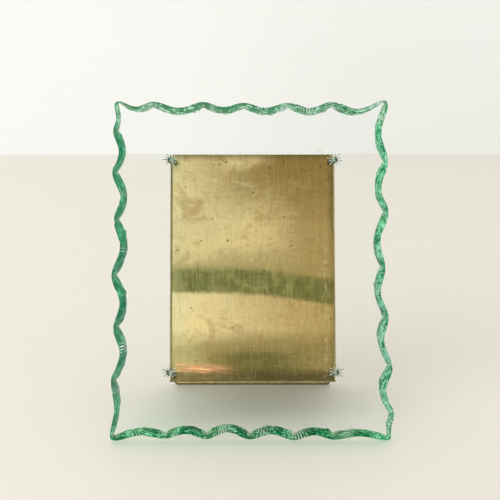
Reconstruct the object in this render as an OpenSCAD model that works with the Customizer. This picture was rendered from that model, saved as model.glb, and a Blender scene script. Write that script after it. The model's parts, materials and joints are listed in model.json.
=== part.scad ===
// Crystal picture frame. A thick slab of clear crystal with a hand-chipped rim leans back
// on a wide hinged strut. Behind the slab, two brass rails and a ledge hold the photograph
// and a brass back plate that slides up and out. Four cut stars hide the studs that fix
// the rails to the crystal. X runs across the frame, the front faces -Y, Z is up, and the
// origin lies on the table under the middle of the whole frame.

/* [Crystal slab] */
// Width across the farthest crests of the chipped rim
slab_w = 222; // [205:1:260]
// Height across the farthest crests of the chipped rim
slab_h = 271; // [258:0.5:320]
// Thickness of the slab
slab_t = 10; // [8:0.5:14]
// Lean of the slab back from upright, in degrees
lean = 25.5; // [22:0.5:28]
// Width of the chipped rim along the top, at its cusps
rim_w = 6.8; // [5:0.2:9]
// Width of the chipped rim at the slab's corners
corner_rim_w = 4; // [3:0.2:5]
// Largest setback of one crest of the rim behind the farthest one
crest_setback = 5.4; // [3:0.1:7]
// Depth of a full bite in the rear edge of the rim
rear_bite = 5; // [4:0.1:6]
// Depth of a full bite in the front edge of the rim
front_bite = 6.3; // [4:0.1:7]
// Extra hollow of each bite half way through the slab
rim_hollow = 0.9; // [0:0.1:1.5]
// Rounding of the slab's rear corners
corner_r = 3; // [1.5:0.5:6]

/* [Cut stars] */
// Radius of a star, from its centre to the tip of a ray
star_r = 6; // [4:0.25:7]
// Depth of a star at its centre
star_depth = 1.5; // [1:0.1:2.5]
// Number of rays of a star
star_rays = 12; // [8:1:16]
// Distance of the upper stars below the top of the rails
upper_star_drop = 4; // [3:0.5:12]
// Height of the lower stars above the underside of the ledge
lower_star_rise = 6.8; // [4:0.2:12]

/* [Photograph pocket] */
// Width of the photograph
photo_w = 127; // [100:1:140]
// Height of the photograph
photo_h = 178; // [150:1:190]
// Side play of the photograph between the rails
photo_play = 0.5; // [0.3:0.1:1.5]
// Depth of the space for the photograph between crystal and back plate
photo_space = 0.9; // [0.5:0.1:2]
// Height of the ledge's underside above the slab's lowest points
pocket_z = 45.8; // [40:0.1:60]
// Offset of the pocket to the right of the slab's middle
pocket_x = 0.6; // [0:0.1:5]

/* [Brass work] */
// Thickness of the brass sheet of rails, bridges, hinge and strut
sheet_t = 1; // [0.8:0.1:1.4]
// Thickness of the back plate
plate_t = 1; // [0.8:0.1:1.5]
// Height of the back plate above the photograph's top edge
plate_above = 2; // [1:0.5:6]
// Depth of the lip turned back along the top of the back plate
plate_lip = 5; // [4:0.5:8]
// Width of the lips of the rails behind the back plate
rail_lip = 7; // [6:0.5:10]
// Height of the upstand of the ledge
ledge_h = 8; // [5:0.5:12]
// Outer radius of a bend in the sheet
bend_r = 1.2; // [0.8:0.1:1.6]

/* [Studs and rivets] */
// Radius of a stud in the crystal
stud_r = 1.6; // [1.2:0.1:2]
// Depth of the blind hole for a stud
stud_hole = 5.2; // [4:0.2:6]
// Wall of the lead sleeve round a stud
sleeve_wall = 0.8; // [0.5:0.1:1.2]
// Radius of a rivet's shank
rivet_r = 1; // [0.8:0.1:1.2]
// Radius of a rivet's head
rivet_head_r = 2; // [1.6:0.1:2.4]
// Height of a rivet's domed head
rivet_head_h = 0.9; // [0.7:0.1:1.2]

/* [Hinge] */
// Distance of the hinge axis below the top of the rails
hinge_drop = 14; // [14:0.5:24]
// Distance from the hinge's ends to the rivets' heads in the rails
hinge_end_gap = 8.5; // [3:0.5:20]
// Number of knuckles
knuckles = 5; // [3:2:9]
// Outer radius of a knuckle
knuckle_r = 3.5; // [3.2:0.1:4]
// Radius of the hinge pin
pin_r = 1.5; // [1:0.1:1.8]
// Height of the leaf on the upper bridge
leaf_h = 12; // [10:0.5:13]

/* [Strut] */
// Angle between slab and strut when it stands open, in degrees
strut_angle = 31.8; // [30:0.2:34]
// Depth of the strut's turned side flanges
flange_d = 5; // [3:0.5:5.5]
// Radius of the rolled hem along the strut's foot
hem_r = 2.5; // [2:0.1:3]
// Depth of the flat that is worn and dressed under the foot
foot_flat = 0.35; // [0.2:0.05:0.6]
// Height of the leaf riveted to the strut
strut_leaf_h = 12; // [10:0.5:16]

/* [Stay] */
// Height of the middle of the stay's guide above the ledge's floor
guide_rise = 35; // [32:1:50]
// Thickness of the stay
stay_t = 2; // [1.5:0.1:3]
// Half width of the stay, which is also the radius of its ends
stay_r = 2.2; // [2:0.1:2.4]
// Radius of the stay's two pins
stay_pin_r = 1.2; // [1:0.1:1.3]
// Height of the lower bridge, which carries the stay's guide
lower_bridge_h = 24; // [16:1:30]
// Width of the feet of the guide and of the stay's bracket
foot_w = 16; // [15:1:24]

/* [Hidden] */
$fn = 48;

// Clearances: a pin in its hole, a piece set fast, sliding sheet, and parts that pass
running_gap = 0.05;
fixed_gap = 0.02;
slide_gap = 0.2;
side_gap = 0.3;
pass_gap = 0.5;
// How far cutting shapes run past what they cut
overrun = 1;

// Cusps along each edge of the rim, as shares of its length, clockwise from the top left
top_cusp_shares = [0, 0.129, 0.319, 0.47, 0.641, 0.805, 1];
right_cusp_shares = [0, 0.177, 0.333, 0.499, 0.649, 0.795, 0.937, 1];
bottom_cusp_shares = [0, 0.193, 0.339, 0.502, 0.66, 0.814, 1];
left_cusp_shares = [0, 0.162, 0.322, 0.477, 0.647, 0.792, 0.919, 1];
// Setback of each crest, as shares of the largest one: the slab stands on its lower corners
top_setback_shares = [0.08, 0.15, 0.21, 0.35, 0.3, 0.19, 0];
right_setback_shares = [0.39, 0.46, 0.46, 1, 0.62, 0.09, 0, 0.46];
bottom_setback_shares = [0, 0.12, 0.06, 0.19, 0.24, 0.26, 0];
left_setback_shares = [0, 0.07, 0.35, 0.01, 0.3, 0.02, 0.09, 0.27];
// Depth of each bite between two cusps, as shares of a full bite
top_bite_shares = [0.83, 0.93, 0.72, 0.8, 0.92, 1.26];
right_bite_shares = [1.03, 1.03, 1, 0.92, 0.97, 1.09, 0.1];
bottom_bite_shares = [0.56, 0.71, 0.82, 1.01, 0.75, 0.67];
left_bite_shares = [0.57, 1.14, 1.1, 1.12, 1.07, 0.96, 0.28];
// Width of the rim along the top, right, bottom and left, as shares of the top's
edge_rim_shares = [1, 0.71, 0.71, 0.73];
// Depths of the rim's rings, as shares of the thickness from rear to front
ring_shares = [0, 0.2, 0.45, 0.72, 1];
// How soon the rim draws in from the rear: below 1 the rim is hollow
rim_curve_share = 0.7;
// Rounding of the slab's front corners, as a share of the rear ones
front_corner_share = 0.3;
// Inset of a plain ring that lies inside every bite
flat_inset = rim_w + crest_setback + 2 * front_bite;
// Steps round one bite and round one corner
bite_steps = 10;
corner_steps = 4;
// Valley between two rays of a star, as a share of its radius
star_valley_share = 0.26;

// The layers behind the slab, as distances behind its rear face
plate_y = photo_space;
lip_y = plate_y + plate_t + slide_gap;
bridge_y = lip_y + sheet_t;
leaf_y = bridge_y + sheet_t;
hinge_y = leaf_y + side_gap + max(knuckle_r, stay_r + sheet_t);

// The pocket between the rails
pocket_half = photo_w / 2 + photo_play;
rail_half = pocket_half + sheet_t;
floor_z = pocket_z + sheet_t;
plate_top = floor_z + photo_h + plate_above;
rail_top = plate_top - sheet_t - pass_gap;
star_places = [for (z = [rail_top - upper_star_drop, pocket_z + lower_star_rise], side = [-1, 1])
    [pocket_x + side * rail_half, z]];

// The bridges, the hinge and their rivets
hinge_z = rail_top - hinge_drop;
upper_bridge_z = hinge_z - 2 * knuckle_r;
rivet_x = pocket_half - rail_lip / 2;
rivet_inset = rivet_head_r + 2 * rivet_r;
hinge_w = 2 * (rivet_x - rivet_head_r - hinge_end_gap);
leaf_gap = knuckle_r + pass_gap;
leaf_rivet_x = hinge_w / 2 - 2 * rivet_head_r - rivet_inset;
foot_rivet_x = foot_w / 2 - rivet_head_r - pass_gap;

// The strut, as wide as the rails, as distances down from the hinge axis and behind it
strut_tilt = strut_angle - lean;
strut_half = rail_half;
panel_e = max(knuckle_r, stay_r + side_gap + sheet_t);
panel_back = panel_e + sheet_t;
strut_leaf_e = panel_e - sheet_t;
hem_e = panel_back - hem_r;
hem_half = strut_half - hem_r - side_gap;
hinge_height = hinge_z * cos(lean) - hinge_y * sin(lean);
strut_len = (hinge_height + hem_e * sin(strut_tilt) - hem_r + foot_flat) / cos(strut_tilt);

// The stay is as long as the distance from the hinge axis to its pivot on the strut. Its pin
// slides along the guide between two heights as the strut folds.
stay_len = (hinge_z - floor_z - guide_rise) / (1 + cos(strut_angle));
stay_open_z = hinge_z - 2 * stay_len * cos(strut_angle);
stay_folded_z = hinge_z - 2 * stay_len;
guide_mid_z = (stay_open_z + stay_folded_z) / 2;
guide_h = stay_open_z - stay_folded_z + 4 * stay_r + 2 * stay_pin_r;
ear_x = stay_t / 2 + side_gap;
guide_back = hinge_y + panel_e - pass_gap;

// The whole frame is centred front to back between its front edge and the strut's foot
front_y = min(corner_rim_w, rim_w * min(edge_rim_shares)) * sin(lean) - slab_t * cos(lean);
hinge_back = hinge_z * sin(lean) + hinge_y * cos(lean);
foot_y = hinge_back + strut_len * sin(strut_tilt) + hem_e * cos(strut_tilt);
contact_y = -(front_y + foot_y + hem_r) / 2;

// Moves children from the slab's own frame to the table: there the slab's rear face is
// the XZ plane, its lowest points lie on the X axis, and Z runs up the slab.
module on_slab() {
    translate([0, contact_y, 0]) rotate([-lean, 0, 0]) children();
}

// Moves children from the strut's own frame: hinge axis on X, strut hanging down -Z
module on_strut() {
    on_slab() translate([pocket_x, hinge_y, hinge_z]) rotate([strut_angle, 0, 0]) children();
}

// Moves children from the stay's own frame: pivot on X, stay hanging down -Z
module on_stay() {
    on_strut() translate([0, 0, -stay_len]) rotate([-2 * strut_angle, 0, 0]) children();
}

// A box given by its two corners
module block(low, high) {
    translate(low) cube(high - low);
}

// A round bar along X, centred on the YZ plane
module bar_x(r, length) {
    rotate([0, 90, 0]) cylinder(r = r, h = length, center = true);
}

// A round bar along Y from one depth to another
module bar_y(r, from, to) {
    translate([0, from, 0]) rotate([-90, 0, 0]) cylinder(r = r, h = to - from);
}

// Outline of bent sheet: two legs from an outer corner at the origin, along X and Y
module bent_sheet(leg_x, leg_y, t) {
    difference() {
        union() {
            square([leg_x, t]);
            square([t, leg_y]);
        }
        difference() {
            square(bend_r);
            translate([bend_r, bend_r]) circle(bend_r);
        }
    }
}

// A rivet along Y: shank from one depth to the other, then a domed head
module rivet(from, to) {
    dome_r = (rivet_head_r * rivet_head_r + rivet_head_h * rivet_head_h) / (2 * rivet_head_h);
    bar_y(rivet_r, from, to);
    intersection() {
        translate([0, to + rivet_head_h - dome_r, 0]) sphere(dome_r);
        bar_y(rivet_head_r + overrun, to, to + rivet_head_h + overrun);
    }
}

// The hole for a rivet
module rivet_hole(from, to) {
    bar_y(rivet_r + fixed_gap, from - overrun, to + overrun);
}

// Linear blend from a to b
function mix(a, b, t) = a + (b - a) * t;

// One smooth swell, 0 at both ends
function swell(u) = pow(sin(180 * u), 2);

// One scoop with sharp ends, 0 at both ends
function scoop(u) = 4 * u * (1 - u);

// At depth share f: how far the rim draws in, the corners' rounding, the depth of a full bite
function draw_in(f) = pow(f, rim_curve_share);
function corner_round(f) = mix(corner_r, corner_r * front_corner_share, f);
function bite_depth(f) = mix(rear_bite, front_bite, draw_in(f)) + rim_hollow * sin(180 * f);

// Insets of all the cusps of one edge: the first and the last are the slab's corners
function cusp_insets(setbacks, corner_in, edge_in) =
    let (last = len(setbacks) - 1)
    [for (i = [0 : last]) (i == 0 || i == last ? corner_in : edge_in) + setbacks[i]];

// Points along one edge, as [distance along the edge, inset]. Each bite runs from one cusp to
// the next: a smooth wave at sharpness 0, a scoop between sharp cusps at sharpness 1. Before
// and after are the insets of the two edges that it meets at the corners.
function edge_points(edge, cusp_shares, insets, bites, before, after, rounding, sharpness) =
    let (start = before + rounding,
         end = edge - after - rounding,
         last = insets[len(insets) - 1])
    concat(
        [for (i = [0 : len(bites) - 1], k = [0 : bite_steps - 1])
            let (u = k / bite_steps)
            [mix(start, end, mix(cusp_shares[i], cusp_shares[i + 1], u)),
             mix(insets[i], insets[i + 1], swell(u / 2)) + bites[i] * mix(swell(u), scoop(u), sharpness)]],
        [for (k = [0 : corner_steps - 1])
            let (turn = 90 * k / corner_steps)
            [end + rounding * sin(turn), last + rounding - rounding * cos(turn)]]);

// A closed ring of points round the slab at depth y, clockwise as seen from the front. Edge_ins
// are the insets of the four edges at their cusps.
function ring(y, corner_in, edge_ins, rounding, bite, sharpness, setback) =
    let (sides = [[slab_w, top_cusp_shares, top_setback_shares, top_bite_shares],
                  [slab_h, right_cusp_shares, right_setback_shares, right_bite_shares],
                  [slab_w, bottom_cusp_shares, bottom_setback_shares, bottom_bite_shares],
                  [slab_h, left_cusp_shares, left_setback_shares, left_bite_shares]],
         n = len(sides),
         insets = [for (i = [0 : n - 1]) cusp_insets(setback * sides[i][2], corner_in, edge_ins[i])],
         edges = [for (i = [0 : n - 1])
             let (back = insets[(i + n - 1) % n], ahead = insets[(i + 1) % n])
             edge_points(sides[i][0], sides[i][1], insets[i], bite * sides[i][3],
                 back[len(back) - 1], ahead[0], rounding, sharpness)])
    concat(
        [for (p = edges[0]) [p[0] - slab_w / 2, y, slab_h - p[1]]],
        [for (p = edges[1]) [slab_w / 2 - p[1], y, slab_h - p[0]]],
        [for (p = edges[2]) [slab_w / 2 - p[0], y, p[1]]],
        [for (p = edges[3]) [p[1] - slab_w / 2, y, p[0]]]);

// A plain ring inside all the bites, and the rim's ring at depth share f
function flat_ring(y) = ring(y, flat_inset, [for (s = edge_rim_shares) flat_inset], corner_r, 0, 0, 0);
function rim_ring(f) =
    ring(-slab_t * f, corner_rim_w * draw_in(f), rim_w * draw_in(f) * edge_rim_shares,
        corner_round(f), bite_depth(f), f, crest_setback);

// The slab with its chipped rim: rings of points from the rear face round to the front face,
// each face closed by a fan of triangles from its middle
module chipped_slab() {
    rings = concat([flat_ring(0)], [for (f = ring_shares) rim_ring(f)], [flat_ring(-slab_t)]);
    n = len(rings[0]);
    last = len(rings) - 1;
    middle = (last + 1) * n;
    walls = [for (j = [0 : last - 1], i = [0 : n - 1])
        let (k = (i + 1) % n)
        each [[j * n + i, (j + 1) * n + i, (j + 1) * n + k], [j * n + i, (j + 1) * n + k, j * n + k]]];
    rear = [for (i = [0 : n - 1]) [i, (i + 1) % n, middle]];
    front = [for (i = [0 : n - 1]) [last * n + (i + 1) % n, last * n + i, middle + 1]];
    polyhedron(
        points = concat([for (r = rings) each r], [[0, 0, slab_h / 2], [0, -slab_t, slab_h / 2]]),
        faces = concat(walls, rear, front));
}

// A wheel-cut star sunk into the front face, as a cutting shape with its centre at the origin
module star_cut() {
    widen = (star_depth + overrun) / star_depth;
    n = 2 * star_rays;
    tips = [for (i = [0 : n - 1])
        let (r = star_r * widen * (i % 2 == 0 ? 1 : star_valley_share), a = 180 * i / star_rays)
        [r * cos(a), -overrun, r * sin(a)]];
    polyhedron(points = concat(tips, [[0, star_depth, 0], [0, -overrun, 0]]),
        faces = [for (i = [0 : n - 1], end = [0, 1])
            let (k = (i + 1) % n)
            end == 0 ? [i, k, n] : [k, i, n + 1]]);
}

// The slab: chipped rim, a star in the front face and a blind hole in the rear at each stud
module crystal_slab() {
    color([0.80, 0.93, 0.87, 0.45]) on_slab() difference() {
        chipped_slab();
        for (p = star_places) translate([p[0], 0, p[1]]) {
            translate([0, -slab_t, 0]) star_cut();
            bar_y(stud_r + sleeve_wall + 2 * fixed_gap, -stud_hole, overrun);
        }
    }
}

// Lead sleeves that line the blind holes
module stud_sleeves() {
    color("dimgray") on_slab() for (p = star_places) translate([p[0], 0, p[1]]) difference() {
        bar_y(stud_r + sleeve_wall + fixed_gap, -stud_hole, 0);
        bar_y(stud_r + fixed_gap, -stud_hole - overrun, overrun);
    }
}

// Studs: round in the crystal, half round where they are soldered to the rails' outer walls
module fixing_studs() {
    color("darkgoldenrod") on_slab() for (p = star_places) translate([p[0], 0, p[1]]) {
        outward = sign(p[0] - pocket_x);
        bar_y(stud_r, -stud_hole, 0);
        intersection() {
            bar_y(stud_r, 0, bridge_y);
            translate([outward * stud_r, bridge_y / 2, 0])
                cube([2 * stud_r, bridge_y, 2 * stud_r], center = true);
        }
    }
}

// A rail: a wall beside the back plate and a lip behind it. Side is 1 on the right.
module rail(side) {
    on_slab() translate([pocket_x, 0, 0]) difference() {
        translate([side * rail_half, bridge_y, floor_z]) mirror([side > 0 ? 1 : 0, 0, 0]) mirror([0, 1, 0])
            linear_extrude(rail_top - floor_z) bent_sheet(rail_lip, bridge_y, sheet_t);
        bridge_rivet_places(side) rivet_hole(lip_y, leaf_y);
    }
}

module left_rail() {
    color("darkgoldenrod") rail(-1);
}

module right_rail() {
    color("darkgoldenrod") rail(1);
}

// The ledge under the photograph: a floor the width of the rails, an upstand between them
module bottom_ledge() {
    color("goldenrod") on_slab() translate([pocket_x, 0, 0]) difference() {
        translate([rail_half, bridge_y, pocket_z]) rotate([90, 0, -90])
            linear_extrude(2 * rail_half) bent_sheet(bridge_y, ledge_h, sheet_t);
        for (side = [-1, 1]) translate([side * (rail_half - rail_lip / 2), 0, floor_z + ledge_h / 2])
            cube([rail_lip + 2 * slide_gap, 2 * bridge_y + overrun, ledge_h], center = true);
    }
}

// Puts children at the rivets of both bridges on one side
module bridge_rivet_places(side) {
    for (z = [upper_bridge_z + rivet_inset, rail_top - rivet_inset,
              guide_mid_z - lower_bridge_h / 2 + rivet_inset,
              guide_mid_z + lower_bridge_h / 2 - rivet_inset])
        translate([side * rivet_x, 0, z]) children();
}

// Puts children at the rivets of the hinge leaf
module hinge_rivet_places() {
    for (x = [-leaf_rivet_x, 0, leaf_rivet_x]) translate([x, 0, hinge_z + leaf_gap + leaf_h / 3]) children();
}

// Puts children at the two rivets of the guide
module guide_rivet_places() {
    for (side = [-1, 1]) translate([side * foot_rivet_x, 0, guide_mid_z]) children();
}

// The upper bridge joins the rails and carries the hinge
module upper_bridge() {
    color("goldenrod") on_slab() translate([pocket_x, 0, 0]) difference() {
        block([-rail_half, bridge_y, upper_bridge_z], [rail_half, leaf_y, rail_top]);
        for (side = [-1, 1]) bridge_rivet_places(side) rivet_hole(bridge_y, leaf_y);
        hinge_rivet_places() rivet_hole(bridge_y, leaf_y);
    }
}

// The lower bridge joins the rails and carries the stay's guide
module lower_bridge() {
    color("goldenrod") on_slab() translate([pocket_x, 0, guide_mid_z]) difference() {
        block([-rail_half, bridge_y, -lower_bridge_h / 2], [rail_half, leaf_y, lower_bridge_h / 2]);
        translate([0, 0, -guide_mid_z]) {
            for (side = [-1, 1]) bridge_rivet_places(side) rivet_hole(bridge_y, leaf_y);
            guide_rivet_places() rivet_hole(bridge_y, leaf_y);
        }
    }
}

module bridge_rivets() {
    color("gold") on_slab() translate([pocket_x, 0, 0])
        for (side = [-1, 1]) bridge_rivet_places(side) rivet(lip_y, leaf_y);
}

// Knuckles of one leaf, barrel and neck, where the knuckle's number leaves rest after
// halving. The neck runs from the barrel to the leaf at depth_y.
module knuckle_row(rest, depth_y, neck_z) {
    pitch = hinge_w / knuckles;
    for (i = [0 : knuckles - 1]) if (i % 2 == rest) translate([(i + 1 / 2) * pitch - hinge_w / 2, 0, 0]) {
        bar_x(knuckle_r, pitch - side_gap);
        translate([0, depth_y + sheet_t / 2, neck_z / 2])
            cube([pitch - side_gap, sheet_t, abs(neck_z)], center = true);
    }
}

// The fixed hinge leaf, riveted to the upper bridge above the hinge axis
module hinge_leaf() {
    color("darkgoldenrod") on_slab() translate([pocket_x, 0, 0]) difference() {
        union() {
            translate([0, hinge_y, hinge_z]) knuckle_row(0, leaf_y - hinge_y, leaf_gap + sheet_t);
            block([-hinge_w / 2 + side_gap / 2, leaf_y, hinge_z + leaf_gap],
                  [hinge_w / 2 - side_gap / 2, leaf_y + sheet_t, hinge_z + leaf_gap + 2 * leaf_h / 3]);
        }
        translate([0, hinge_y, hinge_z]) bar_x(pin_r + fixed_gap, hinge_w + overrun);
        hinge_rivet_places() rivet_hole(leaf_y, leaf_y + sheet_t);
    }
}

module hinge_rivets() {
    color("gold") on_slab() translate([pocket_x, 0, 0])
        hinge_rivet_places() rivet(bridge_y, leaf_y + sheet_t);
}

module hinge_pin() {
    color("gray") on_slab() translate([pocket_x, hinge_y, hinge_z]) bar_x(pin_r, hinge_w);
}

// The guide: a foot on the lower bridge and two walls with slots for the stay's pin
module stay_guide() {
    color("darkgoldenrod") on_slab() translate([pocket_x, 0, 0]) difference() {
        union() {
            block([-foot_w / 2, leaf_y, guide_mid_z - guide_h / 2],
                  [foot_w / 2, leaf_y + sheet_t, guide_mid_z + guide_h / 2]);
            for (side = [-1, 1])
                translate([side * (ear_x + sheet_t / 2), (leaf_y + guide_back) / 2, guide_mid_z])
                    cube([sheet_t, guide_back - leaf_y, guide_h], center = true);
        }
        for (z = [stay_open_z, stay_folded_z])
            translate([0, hinge_y, z]) bar_x(stay_pin_r + running_gap, foot_w);
        translate([0, hinge_y, guide_mid_z])
            cube([foot_w, 2 * (stay_pin_r + running_gap), stay_open_z - stay_folded_z], center = true);
        guide_rivet_places() rivet_hole(leaf_y, leaf_y + sheet_t);
    }
}

module guide_rivets() {
    color("gold") on_slab() translate([pocket_x, 0, 0])
        guide_rivet_places() rivet(bridge_y, leaf_y + sheet_t);
}

// The back plate, with a lip turned back along its top to pull it up by
module back_plate() {
    color("darkkhaki") on_slab() translate([pocket_x - pocket_half + side_gap, plate_y, plate_top])
        mirror([0, 0, 1]) rotate([90, 0, 90])
            linear_extrude(2 * (pocket_half - side_gap)) bent_sheet(plate_lip, plate_top - floor_z, plate_t);
}

// Puts children at the rivets that join strut and leaf
module strut_rivet_places() {
    for (x = [-leaf_rivet_x, 0, leaf_rivet_x]) translate([x, 0, -leaf_gap - strut_leaf_h / 2]) children();
}

// Puts children at the two rivets of the stay's bracket
module bracket_rivet_places() {
    for (side = [-1, 1]) translate([side * foot_rivet_x, 0, -stay_len]) children();
}

// The strut: a shallow pan of sheet with a rolled hem, dressed flat where it stands. Each half
// runs past the middle.
module strut_panel() {
    color("goldenrod") difference() {
        on_strut() difference() {
            union() {
                for (side = [0, 1]) mirror([side, 0, 0]) translate([strut_half, panel_back, -strut_len])
                    mirror([1, 0, 0]) mirror([0, 1, 0]) linear_extrude(strut_len - leaf_gap)
                        bent_sheet(strut_half + overrun, flange_d, sheet_t);
                translate([0, hem_e, -strut_len]) {
                    bar_x(hem_r, 2 * hem_half);
                    for (side = [-1, 1]) translate([side * hem_half, 0, 0]) sphere(hem_r);
                }
            }
            strut_rivet_places() rivet_hole(panel_e, panel_back);
            bracket_rivet_places() rivet_hole(panel_e, panel_back);
        }
        block([-slab_w, -slab_h, -slab_t], [slab_w, slab_h, 0]);
    }
}

// The moving hinge leaf, riveted inside the strut below the hinge axis
module strut_leaf() {
    color("darkgoldenrod") on_strut() difference() {
        union() {
            knuckle_row(1, strut_leaf_e, -leaf_gap - sheet_t);
            block([-hinge_w / 2 + side_gap / 2, strut_leaf_e, -leaf_gap - strut_leaf_h],
                  [hinge_w / 2 - side_gap / 2, panel_e, -leaf_gap]);
        }
        bar_x(pin_r + running_gap, hinge_w + overrun);
        strut_rivet_places() rivet_hole(strut_leaf_e, panel_e);
    }
}

module strut_rivets() {
    color("gold") on_strut() strut_rivet_places() rivet(strut_leaf_e, panel_back);
}

// The bracket for the stay: a foot on the strut and two rounded ears
module stay_bracket() {
    color("darkgoldenrod") on_strut() difference() {
        union() {
            translate([0, 0, -stay_len]) {
                block([-foot_w / 2, strut_leaf_e, -foot_w / 3], [foot_w / 2, panel_e, foot_w / 3]);
                for (side = [-1, 1]) translate([side * (ear_x + sheet_t / 2), 0, 0]) {
                    bar_x(stay_r, sheet_t);
                    translate([0, panel_e / 2, 0]) cube([sheet_t, panel_e, 2 * stay_r], center = true);
                }
            }
        }
        translate([0, 0, -stay_len]) bar_x(stay_pin_r + fixed_gap, foot_w);
        bracket_rivet_places() rivet_hole(strut_leaf_e, panel_e);
    }
}

module bracket_rivets() {
    color("gold") on_strut() bracket_rivet_places() rivet(strut_leaf_e, panel_back);
}

module stay_pivot_pin() {
    color("gray") on_strut() translate([0, 0, -stay_len])
        bar_x(stay_pin_r, 2 * (ear_x + sheet_t + side_gap));
}

// The stay: a flat bar with round ends, turning on the strut and sliding in the guide
module stay_arm() {
    color("goldenrod") on_stay() difference() {
        union() {
            for (z = [0, -stay_len]) translate([0, 0, z]) bar_x(stay_r, stay_t);
            block([-stay_t / 2, -stay_r, -stay_len], [stay_t / 2, stay_r, 0]);
        }
        bar_x(stay_pin_r + running_gap, stay_t + overrun);
        translate([0, 0, -stay_len]) bar_x(stay_pin_r + fixed_gap, stay_t + overrun);
    }
}

module stay_slide_pin() {
    color("gray") on_stay() translate([0, 0, -stay_len]) bar_x(stay_pin_r, 2 * (ear_x + sheet_t + side_gap));
}

crystal_slab();
stud_sleeves();
fixing_studs();
left_rail();
right_rail();
bottom_ledge();
upper_bridge();
lower_bridge();
bridge_rivets();
hinge_leaf();
hinge_rivets();
hinge_pin();
stay_guide();
guide_rivets();
back_plate();
strut_panel();
strut_leaf();
strut_rivets();
stay_bracket();
bracket_rivets();
stay_pivot_pin();
stay_arm();
stay_slide_pin();
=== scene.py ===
"""Crystal picture frame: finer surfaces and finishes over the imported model, for Blender 4.5."""
import json
from math import cos, radians, sin

import bmesh
import bpy
import numpy as np
from mathutils import Matrix, Vector


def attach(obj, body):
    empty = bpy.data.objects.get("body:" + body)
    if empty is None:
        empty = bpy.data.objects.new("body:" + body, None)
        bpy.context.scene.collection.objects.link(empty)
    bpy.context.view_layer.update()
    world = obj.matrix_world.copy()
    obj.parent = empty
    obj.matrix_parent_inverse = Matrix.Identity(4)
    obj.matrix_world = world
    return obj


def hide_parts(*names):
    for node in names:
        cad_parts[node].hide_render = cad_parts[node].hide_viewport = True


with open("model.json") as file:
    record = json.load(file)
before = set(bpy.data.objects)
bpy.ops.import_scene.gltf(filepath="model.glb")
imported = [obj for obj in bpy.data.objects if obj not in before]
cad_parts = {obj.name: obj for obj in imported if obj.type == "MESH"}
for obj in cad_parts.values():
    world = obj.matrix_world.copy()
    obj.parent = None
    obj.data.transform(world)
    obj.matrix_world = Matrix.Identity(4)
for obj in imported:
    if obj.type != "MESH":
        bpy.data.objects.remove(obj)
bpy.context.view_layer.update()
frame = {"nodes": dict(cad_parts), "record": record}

# Sizes in millimetres, the same as in the part's source. In the slab's own coordinates X runs across
# from its middle, Y back from its rear face, so its front face is at -SLAB_T, and Z up from its foot.
MM = 0.001
SLAB_W, SLAB_H, SLAB_T = 222.0, 271.0, 10.0
LEAN = radians(25.5)
CONTACT_Y = -57.8740968  # where the rear edge of the slab's foot stands on the table
POCKET_X, FLOOR_Z = 0.6, 46.8  # middle and floor of the brass pocket
RIM_W, CORNER_RIM_W, SETBACK = 6.8, 4.0, 5.4
REAR_BITE, FRONT_BITE, RIM_HOLLOW = 5.0, 6.3, 0.9
CORNER_R, CORNER_SHARE, RIM_CURVE = 3.0, 0.3, 0.7
STAR_R, STAR_DEPTH, STAR_RAYS = 6.0, 1.5, 12
HOLE_R, HOLE_DEPTH = 2.44, 5.2
STAR_PLACES = [(POCKET_X + side * 65, z) for z in (221.3, 52.6) for side in (-1, 1)]

# For each edge of the rim, clockwise from the top left: its cusps as shares of its length, the
# setback of each crest as shares of the largest one, the depth of each bite as shares of a full
# one, and its width as a share of the top's
EDGES = ("top", "right", "bottom", "left")
CUSPS = {
    "top": (0, 0.129, 0.319, 0.47, 0.641, 0.805, 1),
    "right": (0, 0.177, 0.333, 0.499, 0.649, 0.795, 0.937, 1),
    "bottom": (0, 0.193, 0.339, 0.502, 0.66, 0.814, 1),
    "left": (0, 0.162, 0.322, 0.477, 0.647, 0.792, 0.919, 1),
}
SETBACKS = {
    "top": (0.08, 0.15, 0.21, 0.35, 0.3, 0.19, 0),
    "right": (0.39, 0.46, 0.46, 1, 0.62, 0.09, 0, 0.46),
    "bottom": (0, 0.12, 0.06, 0.19, 0.24, 0.26, 0),
    "left": (0, 0.07, 0.35, 0.01, 0.3, 0.02, 0.09, 0.27),
}
BITES = {
    "top": (0.83, 0.93, 0.72, 0.8, 0.92, 1.26),
    "right": (1.03, 1.03, 1, 0.92, 0.97, 1.09, 0.1),
    "bottom": (0.56, 0.71, 0.82, 1.01, 0.75, 0.67),
    "left": (0.57, 1.14, 1.1, 1.12, 1.07, 0.96, 0.28),
}
RIM_SHARES = {"top": 1.0, "right": 0.71, "bottom": 0.71, "left": 0.73}
# Bundles of short ridges that cross the rim: place along the edge as a share, half width, strength
RIDGES = {
    "top": ((0.125, 5, 0.7), (0.36, 3, 0.5), (0.54, 3.5, 0.7), (0.62, 5, 0.6), (0.705, 6, 0.9),
            (0.94, 3, 0.7)),
    "right": ((0.05, 3, 0.9), (0.27, 4, 0.6), (0.57, 4, 0.6), (0.70, 3, 0.8), (0.95, 3, 0.6)),
    "bottom": ((0.165, 6, 0.8), (0.335, 5, 1.0), (0.465, 5, 0.8), (0.603, 6, 1.2), (0.77, 3, 0.7),
               (0.90, 5, 0.5)),
    "left": ((0.145, 3, 0.4), (0.27, 5, 0.9), (0.555, 2, 0.5), (0.72, 3, 0.4), (0.95, 3, 0.5)),
}

# Detail that only this script has: half height and reach of the shell ripples, height and pitch of
# the ridges, length of rim for each flake, width of a cusp's light, length over which bites fade out
# at a corner
RIPPLE, RIPPLE_REACH = 0.035, 14
RIDGE, RIDGE_PITCH = 0.22, 1.55
FLAKE_EVERY, CUSP_W, CORNER_FADE = 9, 2.6, 6
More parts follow.
